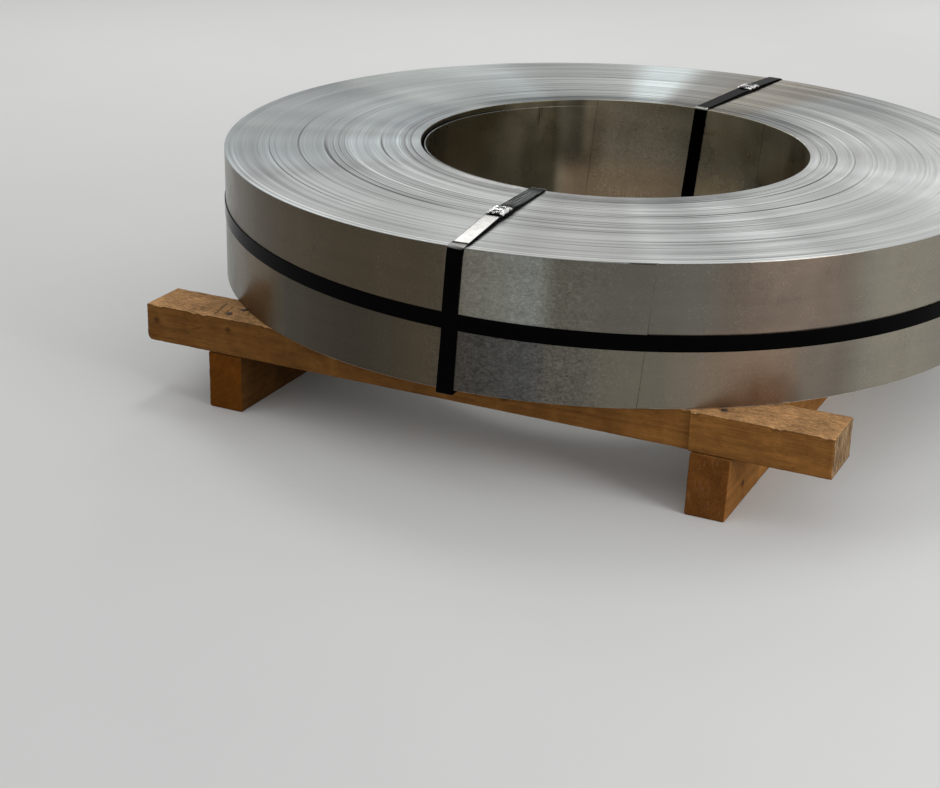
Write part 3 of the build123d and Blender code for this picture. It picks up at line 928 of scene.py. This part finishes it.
def eye_strap(strip, straps, name, azimuth, seal_radius, lift, lean, paint):
    """A strap through the bore and round the coil, and the lap under its seal, both a flat bar carried along a line.

    Points of the line are the distance from the axis along the strap's azimuth, the height, and the lean aside.
    """
    at_bore, at_seal, at_kink, at_rim, at_crossing, at_foot, at_bore_foot = lean
    half = straps.thickness / 2
    off = 0.9 * MM
    seat_bore = math.sqrt(strip.bore_radius**2 - (straps.width / 2) ** 2) - CLEARANCE - half
    over, under = strip.top + CLEARANCE + half, strip.underside - CLEARANCE - half
    wall = strip.outside_radius + CLEARANCE + half
    crossing = wall + straps.thickness + CLEARANCE
    belly, _ = belly_at(strip, straps, azimuth)
    corners_and_bends = np.array(
        [
            (seat_bore - off / 2, over + off, at_bore, 3 * MM),
            (seal_radius - straps.lap / 2, over + lift, at_seal, 12 * MM),
            (seal_radius + straps.lap / 2, over + lift, at_seal, 12 * MM),
            (wall - 9 * MM, over + 1.6 * MM, at_kink, 2.5 * MM),
            (wall + off, over + 0.5 * off, (at_kink + at_rim) / 2, 3.5 * MM),
            (wall + 0.8 * MM, strip.top - 12 * MM, at_rim, 6 * MM),
            (crossing, belly + 11 * MM, at_crossing, 8 * MM),
            (crossing, belly - 11 * MM, at_crossing, 8 * MM),
            (strip.outside_radius + 2.9 * MM, strip.underside - 5.4 * MM, at_foot, 4 * MM),
            (446 * MM, under, 0, 4 * MM),
            (350 * MM, under, 0, 4 * MM),
            (math.sqrt(seat_bore**2 - at_bore_foot**2), under, at_bore_foot, 2.4 * MM),
        ]
    )
    run = even_steps(corners_and_bends[:, :3], corners_and_bends[:, 3], 1.2 * MM)
    radial, sideways = compass(azimuth)
    axes = np.stack([radial, [0, 0, 1.0], sideways])
    section = strap_section(straps.width, straps.thickness)

    def carried(line, ahead):
        """The flat bar along the line, twisted where the line leans so that it lies flat on the round wall."""
        ahead = ahead / np.linalg.norm(ahead, axis=1, keepdims=True)
        out = np.stack([-ahead[:, 1], ahead[:, 0], -ahead[:, 1] * line[:, 2] / line[:, 0]], axis=-1)
        out /= np.linalg.norm(out, axis=1, keepdims=True)
        return carry(section, line @ axes, np.cross(ahead, out) @ axes, out @ axes)

    loop = carried(run, np.roll(run, -1, axis=0) - np.roll(run, 1, axis=0))
    upper = run[run[:, 1] > strip.top - 1 * MM]
    radius, rise, aside = upper[np.argsort(upper[:, 0])].T
    lap_radius = seal_radius + np.linspace(-0.5, 0.5, 60) * straps.lap
    lap_rise = np.interp(lap_radius, radius, rise) + straps.thickness + LAP_GAP
    lap_run = np.stack([lap_radius, lap_rise, np.interp(lap_radius, radius, aside)], axis=-1)
    shells = [closed_tube(loop, True), closed_tube(carried(lap_run, np.gradient(lap_run, axis=0)))]

    points = np.concatenate([shell[0] for shell in shells])
    out = np.hypot(points[:, 0], points[:, 1])
    from_rim = np.minimum(np.clip(wall - 2 * MM - out, 0, 1), np.abs(out - seat_bore))
    on_top = smooth(strip.top - 0.9 * MM, strip.top + 0.1 * MM, points[:, 2])
    rubbed_and_lit = smooth(4 * MM, 1.5 * MM, from_rim) * on_top
    # Scuffs and painted sheen on the front strap's far run, between the seal and the bore.
    scuffs_and_sheen = smooth(seal_radius - 20 * MM, seal_radius - 45 * MM, out)
    scuffs_and_sheen = scuffs_and_sheen * smooth(seat_bore + 4 * MM, seat_bore + 30 * MM, out)
    scuffs_and_sheen = scuffs_and_sheen * (points[:, 2] > strip.top) * (name == "front_eye_strap")
    vectors = {"rubbed_and_lit": np.stack([rubbed_and_lit, scuffs_and_sheen, points @ sideways], axis=-1)}
    make_piece(name + "_strapping", shells, [paint], [name], vectors=vectors)


def belly_strap(strip, straps, paint):
    """The strap round the wall and its lap: a flat bar carried round circles."""
    section = strap_section(straps.width, straps.thickness)
    seat = strip.outside_radius + CLEARANCE + straps.thickness / 2
    lap_turn = straps.lap / seat
    lap_start, lap_rise = straps.belly_seal_azimuth - lap_turn / 2, straps.thickness + LAP_GAP
    shells = []
    for start, turn, rise, columns in ((0.0, FULL_TURN, 0.0, 480), (lap_start, lap_turn, lap_rise, 60)):
        whole = turn == FULL_TURN
        around = start + np.linspace(0, turn, columns, endpoint=not whole)
        radial = round_axis(1.0, around, 0.0)
        upright = np.tile([0.0, 0.0, 1.0], (columns, 1))
        height, _ = belly_at(strip, straps, around)
        path = radial * (seat + rise) + upright * height[:, None]
        shells.append(closed_tube(carry(section, path, upright, radial), whole))
    make_piece("belly_strapping", shells, [paint], ["belly_strap"])


def pressed_seal(straps, name, origin, along, across, up, metal):
    """A crimped cap. Across it runs half of a squared oval; two crimps pinch its edges in and bend them up as wings.

    The skin's middle is built first, in x along the seal and the angle beta over it, then both of its sides.
    """
    x, beta = np.linspace(-0.5, 0.5, 61) * straps.seal_length, np.radians(np.linspace(-90, 90, 49))
    x, beta = np.meshgrid(x, beta, indexing="ij")
    half_width, rise, thickness = straps.width / 2 + 0.75 * MM, 2.25 * MM, 0.8 * MM
    side = np.sign(np.sin(beta)) * np.abs(np.sin(beta)) ** 0.36
    crown = np.abs(np.cos(beta)) ** 0.36
    edge = smooth(0.45, 0.98, np.abs(side))
    crimp = hump(6.5 * MM, 2.0 * MM, np.abs(x))
    bulge = hump(0, 2.6 * MM, x) + hump(13 * MM, 2.2 * MM, np.abs(x))
    y = half_width * side * (1 - 0.17 * crimp * edge + 0.05 * bulge * edge)
    z = 0.3 * MM + rise * crown + 1.5 * MM * crimp * edge - 0.6 * MM * crimp * (1 - edge)
    z = z - 1.2 * MM * smooth(13.4 * MM, 15 * MM, np.abs(x)) * crown + 0.35 * MM * bulge * (1 - edge)
    skin = np.stack([x, y, z], axis=-1)
    normal = np.cross(np.gradient(skin, axis=0), np.gradient(skin, axis=1))
    normal /= np.linalg.norm(normal, axis=-1, keepdims=True)
    rows, width = x.shape
    normal = np.where(normal[rows // 2, width // 2, 2] < 0, -normal, normal)
    outside, inside = skin + normal * thickness / 2, skin - normal * thickness / 2
    points = origin + np.concatenate([outside, inside[:, ::-1]], axis=1) @ np.stack([along, across, up])
    # Share of bright metal: wings, edges and bulges; the rest of the seal is painted shade.
    rubbed_and_lit = np.clip(0.38 + 0.85 * crimp * edge + 0.65 * bulge * edge + hump(0, 2.4 * MM, x) * 0.20, 0, 1)
    rubbed_and_lit = np.concatenate([rubbed_and_lit, rubbed_and_lit[:, ::-1]], axis=1).ravel()
    faces = grid_faces(rows, 2 * width).tolist()
    pairs = np.arange(width - 1)
    for row, flip in ((0, False), (rows - 1, True)):
        near = row * 2 * width + pairs
        far = row * 2 * width + (2 * width - 1 - pairs)
        cap = np.stack([near, far, far - 1, near + 1], axis=-1)
        faces += (cap[:, ::-1] if flip else cap).tolist()
    vectors = {"rubbed_and_lit": np.repeat(rubbed_and_lit[:, None], 3, axis=1)}
    make_piece(name + "_crimped", [(points.reshape(-1, 3), faces)], [metal], [name], vectors=vectors)


def round_low_edge(points, low, radius):
    """Rounds a block's edge along Y at its least X and Z.

    Points past a circle that touches both sides of the edge are drawn in to the circle.
    """
    corner, radius = low[[0, 2]], radius[..., None]
    inside = radius - (points[..., [0, 2]] - corner)
    gap = np.hypot(inside[..., :1], inside[..., 1:])
    past = (inside > 0).all(axis=-1, keepdims=True) & (gap > radius)
    share = np.where(past, radius / np.maximum(gap, 1e-9), 1)
    points[..., [0, 2]] = corner + (radius - inside * share)


def mark_timber(points, name, low, high, nails, dent, seed):
    """Cuts a timber's pits round its nails, its notch under a strap, and its own worn or slanting end."""
    flat_top = smooth(-2.0 * MM, -0.8 * MM, points[..., 2] - high[2])
    for nail_x, nail_y in nails:
        gap = np.hypot(points[..., 0] - nail_x, points[..., 1] - nail_y)
        points[..., 2] -= flat_top * 1.2 * MM * smooth(9.5 * MM, 4.4 * MM, gap)
    if dent is not None:
        beside = np.abs(points[..., 0] * -math.sin(dent) + points[..., 1] * math.cos(dent))
        points[..., 2] -= flat_top * 0.9 * MM * smooth(12.0 * MM, 10.0 * MM, beside)
    uneven = 1 + 0.35 * space_noise(points, (9 * MM, 9 * MM, 9 * MM), seed + 6)
    if name == "front_cross_timber":
        round_low_edge(points, low, 11 * MM * uneven)
    if name == "left_bearer":
        round_low_edge(points, low, 6 * MM * uneven * smooth(-0.34, -0.42, points[..., 1]) + 0.01 * MM)
    if name == "right_bearer":
        foot = (high[2] - points[..., 2]) / (high[2] - low[2])
        points[..., 1] -= 6 * MM * foot * smooth(-0.36, -0.43, points[..., 1])


def sawn_timber(skid, name, along_x, step, seed, paleness, brightness, nails, dent, wood):
    """A rough sawn timber: a squared outline carried along it, with worn edges, ripple, lumps and fuzz cut inwards.

    A point on the sharp outline goes to the nearest point of a smaller outline, plus the edge radius outwards.
    """
    low, high = (np.array(corner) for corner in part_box(name))
    middle, size = (low + high) / 2, high - low
    long, wide, tall = size if along_x else size[[1, 0, 2]]
    stepped, step_end = name == "front_cross_timber", skid.saw_step_x - middle[0]
    body = np.linspace(-long / 2 + 1.2 * MM, long / 2 - 1.2 * MM, round(long / step))
    if stepped:
        body = np.sort(np.concatenate([body, [step_end - 0.15 * MM, step_end + 0.15 * MM]]))
    inset = np.linspace(0.98, 0.02, 18)
    along = np.concatenate([np.full(len(inset), -long / 2), body, np.full(len(inset), long / 2)])
    scale = np.concatenate([inset[::-1], np.ones(len(body)), inset])
    perimeter = 2 * (wide + tall)
    count = round(perimeter / step / 4) * 4
    walk = (np.arange(count) + 0.5) / count * perimeter
    run = np.array([0, wide, wide + tall, 2 * wide + tall, perimeter])
    across = np.interp(walk, run, [-wide / 2, wide / 2, wide / 2, -wide / 2, -wide / 2])
    up = np.interp(walk, run, [-tall / 2, -tall / 2, tall / 2, tall / 2, -tall / 2])
    sharp = np.stack(np.broadcast_arrays(along[:, None], across, up), axis=-1)
    offset = seed * np.array([1.7, 0.9, 0.6])

    def noise(place, lengthwise, crosswise, number):
        """Noise whose cells are so many millimetres long and wide."""
        return space_noise(place, (lengthwise * MM, crosswise * MM, crosswise * MM), seed + number)

    corner = np.sign(sharp) * np.array([0, wide / 2, tall / 2]) + offset + [1, 0, 0] * sharp
    worn = smooth(0.05, 0.9, noise(corner, 16, 1000, 0)) * noise(corner, 5, 1000, 1) ** 2
    torn_edge = smooth(0.0, 0.8, noise(corner, 5, 1000, 8)) * (sharp[..., 2] > 0) * (sharp[..., 1] < 0)
    radius = (skid.edge_radius + skid.wear * (worn + 2.0 * torn_edge))[..., None]
    near_side = (-wide / 2 + skid.saw_step * (stepped & (along < step_end)))[:, None]
    section = sharp[..., 1:].copy()
    section[..., 0] = near_side + (section[..., 0] / wide + 0.5) * (wide / 2 - near_side)
    least = np.stack(np.broadcast_arrays(near_side, np.full(count, -tall / 2)), axis=-1)
    held = np.clip(section, least + radius, np.array([wide / 2, tall / 2]) - radius)
    away = section - held
    away = away / np.linalg.norm(away, axis=-1, keepdims=True)

    place = sharp + offset
    ripple, ridges = noise(place, 7, 60, 2), noise(place, 60, 4.5, 3)
    lumps, fuzz = noise(place, 30, 22, 4), noise(place, 5, 3.2, 5)
    cut = (0.10 * (1 + ripple) + 0.13 * (1 + ridges) + 0.22 * (1 + lumps) + 0.16 * (1 + fuzz)) * MM
    cut = cut * (0.55 + 0.45 * np.maximum(np.abs(away[..., 0]), smooth(0.3, 0.9, away[..., 1])))
    out = (held + away * (radius - cut[..., None])) * scale[:, None, None]
    local = np.concatenate([np.broadcast_to(along[:, None, None], out.shape[:2] + (1,)), out], axis=-1)
    end_share = (scale < 0.999)[:, None] * np.ones(count)
    end_cut = 0.28 * (1 + noise(local + offset, 2.6, 2.6, 7))
    local[..., 0] -= np.sign(local[..., 0]) * end_share * end_cut * MM
    points = (local if along_x else np.stack([-local[..., 1], local[..., 0], local[..., 2]], axis=-1)) + middle
    mark_timber(points, name, low, high, nails, dent, seed)

    ends = np.concatenate([end_share.ravel(), [1, 1]])
    end_middles = np.array([[-long / 2, 0, 0], [long / 2, 0, 0]])
    vectors = {
        "plank": np.concatenate([local.reshape(-1, 3), end_middles]) + offset,
        "plank_end": np.stack([ends, np.full_like(ends, paleness), np.full_like(ends, brightness)], axis=-1),
    }
    make_piece(name + "_sawn", [closed_tube(points)], [wood], [name], vectors=vectors)


def wire_nails(places, head_top, metal):
    """Wire nails: one outline of shank, grip rings and head, turned round each nail's axis."""
    around = np.linspace(0, FULL_TURN, 24, endpoint=False)
    ring = round_axis(NAIL_OUTLINE[:, :1] * MM, around, NAIL_OUTLINE[:, 1:] * MM)
    shells = [closed_tube(ring + np.array([x, y, head_top])) for x, y in places]
    make_piece("wire_nails", shells, [metal], ["skid_nails"])


# Stage


def stage_floor(stage):
    """A round floor, as a grid of rings whose radius grows by equal factors."""
    radius = np.concatenate([[0.02], np.geomspace(0.1, stage.floor_reach, 40)])[:, None]
    around = np.linspace(0, FULL_TURN, 96, endpoint=False)
    points = round_axis(radius, around, 0.0)
    rows, columns = points.shape[:2]
    faces = grid_faces(rows, columns).tolist() + [list(range(columns))[::-1]]
    mesh = bpy.data.meshes.new("floor")
    mesh.from_pydata(points.reshape(-1, 3).tolist(), [], faces)
    s = new_material("pale_floor")
    cloud = s.noise(s.vector(*s.place()), 1.3, 4.0, 0.6)
    colour = s.tone(stage.floor_colour, s.between(cloud, 0.3, 0.7, 0.985, 1.015))
    mesh.materials.append(s.finish(Base_Color=colour, Roughness=0.85))
    mesh.update()
    floor = bpy.data.objects.new("floor", mesh)
    bpy.context.scene.collection.objects.link(floor)
    if mesh.polygons[0].normal.z < 0:
        mesh.flip_normals()


def surroundings(stage):
    """Pale surroundings, a little brighter overhead than at eye level, the same for every ray."""
    world = bpy.data.worlds.new("studio")
    bpy.context.scene.world = world
    s = Shader(world)
    height = s.split(s.node("ShaderNodeTexCoord", output="Generated"))[2]
    background = s.tree.nodes["Background"]
    s.plug(s.mix(s.between(height, 0.0, 0.8), stage.horizon_colour, stage.zenith_colour), background.inputs["Color"])
    s.plug(stage.surroundings, background.inputs["Strength"])


def softbox(name, place, target, width, height, power, tint, beam):
    """A rectangular lamp that faces a point, and isn't seen by the camera."""
    lamp = bpy.data.lights.new(name, "AREA")
    lamp.shape = "RECTANGLE"
    lamp.size, lamp.size_y, lamp.energy, lamp.color = width, height, power, tint
    lamp.spread = math.radians(beam)
    holder = bpy.data.objects.new(name, lamp)
    holder.location = place
    holder.rotation_euler = (Vector(target) - Vector(place)).to_track_quat("-Z", "Y").to_euler()
    holder.visible_camera = False
    bpy.context.scene.collection.objects.link(holder)


def stage_camera(stage):
    """The camera: its level heading is turned down by the pitch, then turned about its own line by the roll."""
    ahead = Vector((-math.sin(stage.camera_heading), math.cos(stage.camera_heading), 0))
    level_right = Vector((math.cos(stage.camera_heading), math.sin(stage.camera_heading), 0))
    forward = ahead * math.cos(stage.camera_pitch) - Vector((0, 0, math.sin(stage.camera_pitch)))
    level_up = level_right.cross(forward)
    right = level_right * math.cos(stage.camera_roll) + level_up * math.sin(stage.camera_roll)
    above = level_up * math.cos(stage.camera_roll) - level_right * math.sin(stage.camera_roll)
    camera = bpy.data.cameras.new("camera")
    camera.lens = stage.camera_lens
    camera.sensor_width = 36
    camera.clip_end = 200
    holder = bpy.data.objects.new("camera", camera)
    holder.matrix_world = Matrix((right, above, -forward)).transposed().to_4x4()
    holder.location = stage.camera_place
    bpy.context.scene.collection.objects.link(holder)
    bpy.context.scene.camera = holder


# Operators


def nail_places():
    """Where the nails stand, read from the middles of the CAD nails' tops."""
    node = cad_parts["skid_nails"]
    points = np.zeros(len(node.data.vertices) * 3, np.float32)
    node.data.vertices.foreach_get("co", points)
    points = points.reshape(-1, 3)
    top = points[points[:, 2] > points[:, 2].max() - 0.1 * MM][:, :2]
    places = []
    for signs in ((-1, -1), (-1, 1), (1, -1), (1, 1)):
        here = top[(np.sign(top) == signs).all(axis=1)]
        edge = here[:, 1].mean()
        for half in (here[here[:, 1] < edge], here[here[:, 1] >= edge]):
            places.append(tuple(float(v) for v in (half.min(axis=0) + half.max(axis=0)) / 2))
    return places


def eye_straps(straps):
    """Each strap through the eye: name, azimuth, its seal's radius and lift, and how it leans."""
    return (
        ("front_eye", straps.front_azimuth, straps.front_seal_radius, straps.front_seal_lift, FRONT_LEAN),
        ("rear_eye", straps.rear_azimuth, straps.rear_seal_radius, straps.rear_seal_lift, REAR_LEAN),
    )


class WindStrip(bpy.types.Operator):
    """Wind the strip into the coil, with its tail and its loose innermost turn"""

    bl_idname = "steel_coil.wind_strip"
    bl_label = "Wind the Strip"

    def execute(self, context):
        strip = context.scene.coil_strip
        edge = slit_edge_metal(strip)
        wall_seams = [(strip.tail_azimuth, -1, 0.50)]
        bore_seams = [(strip.lead_azimuth, 1, 0.45), (math.radians(BORE_SEAM), 1, 0.50)]
        wall = strip_face_metal("galvanised_wall", strip, strip.wall_colour, WALL_PAINTED_BANDS, wall_seams, **WALL_FACE)
        bore = strip_face_metal("galvanised_bore", strip, strip.bore_colour, BORE_PAINTED_BANDS, bore_seams, **BORE_FACE)
        wind_coil(strip, [edge, wall, bore])
        lead_turn(strip, [edge, bore])
        return {"FINISHED"}


class FitStraps(bpy.types.Operator):
    """Fit the three black straps"""

    bl_idname = "steel_coil.fit_straps"
    bl_label = "Fit the Straps"

    def execute(self, context):
        strip, straps = context.scene.coil_strip, context.scene.coil_straps
        paint = strap_paint(straps)
        belly_strap(strip, straps, paint)
        for name, azimuth, radius, lift, lean in eye_straps(straps):
            eye_strap(strip, straps, name + "_strap", azimuth, radius, lift, lean, paint)
        return {"FINISHED"}


class PressSeals(bpy.types.Operator):
    """Press the three seals over the straps' laps"""

    bl_idname = "steel_coil.press_seals"
    bl_label = "Press the Seals"

    def execute(self, context):
        strip, straps = context.scene.coil_strip, context.scene.coil_straps
        metal = seal_metal(straps)
        upright = np.array([0, 0, 1.0])
        for name, azimuth, radius, lift, lean in eye_straps(straps):
            radial, sideways = compass(azimuth)
            turned = math.atan2(lean[2] - lean[0], strip.outside_radius - strip.bore_radius)
            along = radial * math.cos(turned) + sideways * math.sin(turned)
            across = sideways * math.cos(turned) - radial * math.sin(turned)
            origin = radial * radius + sideways * lean[1] + upright * (strip.top + lift + CLEARANCE)
            pressed_seal(straps, name + "_seal", origin, along, across, upright, metal)
        radial, sideways = compass(straps.belly_seal_azimuth)
        height, rise = belly_at(strip, straps, straps.belly_seal_azimuth)
        along = (sideways + upright * rise) / math.hypot(1, rise)
        origin = radial * (strip.outside_radius + CLEARANCE) + upright * height
        pressed_seal(straps, "belly_seal", origin, along, np.cross(radial, along), radial, metal)
        return {"FINISHED"}


class SawSkid(bpy.types.Operator):
    """Saw the four timbers and drive the nails"""

    bl_idname = "steel_coil.saw_skid"
    bl_label = "Saw the Skid"

    def execute(self, context):
        straps, skid = context.scene.coil_straps, context.scene.coil_skid
        nails = nail_places()
        if len(nails) != 8:
            raise RuntimeError("the skid has eight nails")
        wood = rough_sawn_wood(skid, nails)
        dents = {"front_cross_timber": straps.front_azimuth, "rear_cross_timber": straps.rear_azimuth}
        for name, along_x, *own in TIMBERS:
            sawn_timber(skid, name, along_x, *own, nails if along_x else [], dents.get(name), wood)
        wire_nails(nails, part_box("skid_nails")[1].z, nail_metal(skid))
        return {"FINISHED"}


class SetStage(bpy.types.Operator):
    """Lay the floor, hang the lamps and set the camera"""

    bl_idname = "steel_coil.set_stage"
    bl_label = "Set the Stage"

    def execute(self, context):
        stage = context.scene.coil_stage
        stage_floor(stage)
        surroundings(stage)
        for lamp in LAMPS:
            softbox(*lamp)
        stage_camera(stage)
        context.scene.view_settings.view_transform = "Standard"
        return {"FINISHED"}


class CoilPanel(bpy.types.Panel):
    """Lists the coil's operators and settings"""

    bl_idname = "VIEW3D_PT_steel_coil"
    bl_label = "Steel Coil"
    bl_space_type = "VIEW_3D"
    bl_region_type = "UI"
    bl_category = "Steel Coil"

    def draw(self, context):
        layout = self.layout
        for operator in OPERATORS:
            layout.operator(operator.bl_idname)
        for name, group in SETTINGS.items():
            box = layout.box()
            box.label(text=group.__doc__)
            for setting in group.__annotations__:
                box.prop(getattr(context.scene, name), setting)


OPERATORS = (WindStrip, FitStraps, PressSeals, SawSkid, SetStage)
CLASSES = (*SETTINGS.values(), *OPERATORS, CoilPanel)


def register():
    """Adds the classes, and the settings to the scene."""
    for item in CLASSES:
        bpy.utils.register_class(item)
    for name, group in SETTINGS.items():
        setattr(bpy.types.Scene, name, bpy.props.PointerProperty(type=group))


def unregister():
    """Takes the settings and the classes away again."""
    for name in SETTINGS:
        delattr(bpy.types.Scene, name)
    for item in reversed(CLASSES):
        bpy.utils.unregister_class(item)


def main():
    """Builds everything by its operators."""
    register()
    bpy.ops.steel_coil.set_stage()
    bpy.ops.steel_coil.wind_strip()
    bpy.ops.steel_coil.fit_straps()
    bpy.ops.steel_coil.press_seals()
    bpy.ops.steel_coil.saw_skid()


if __name__ == "__main__":
    main()
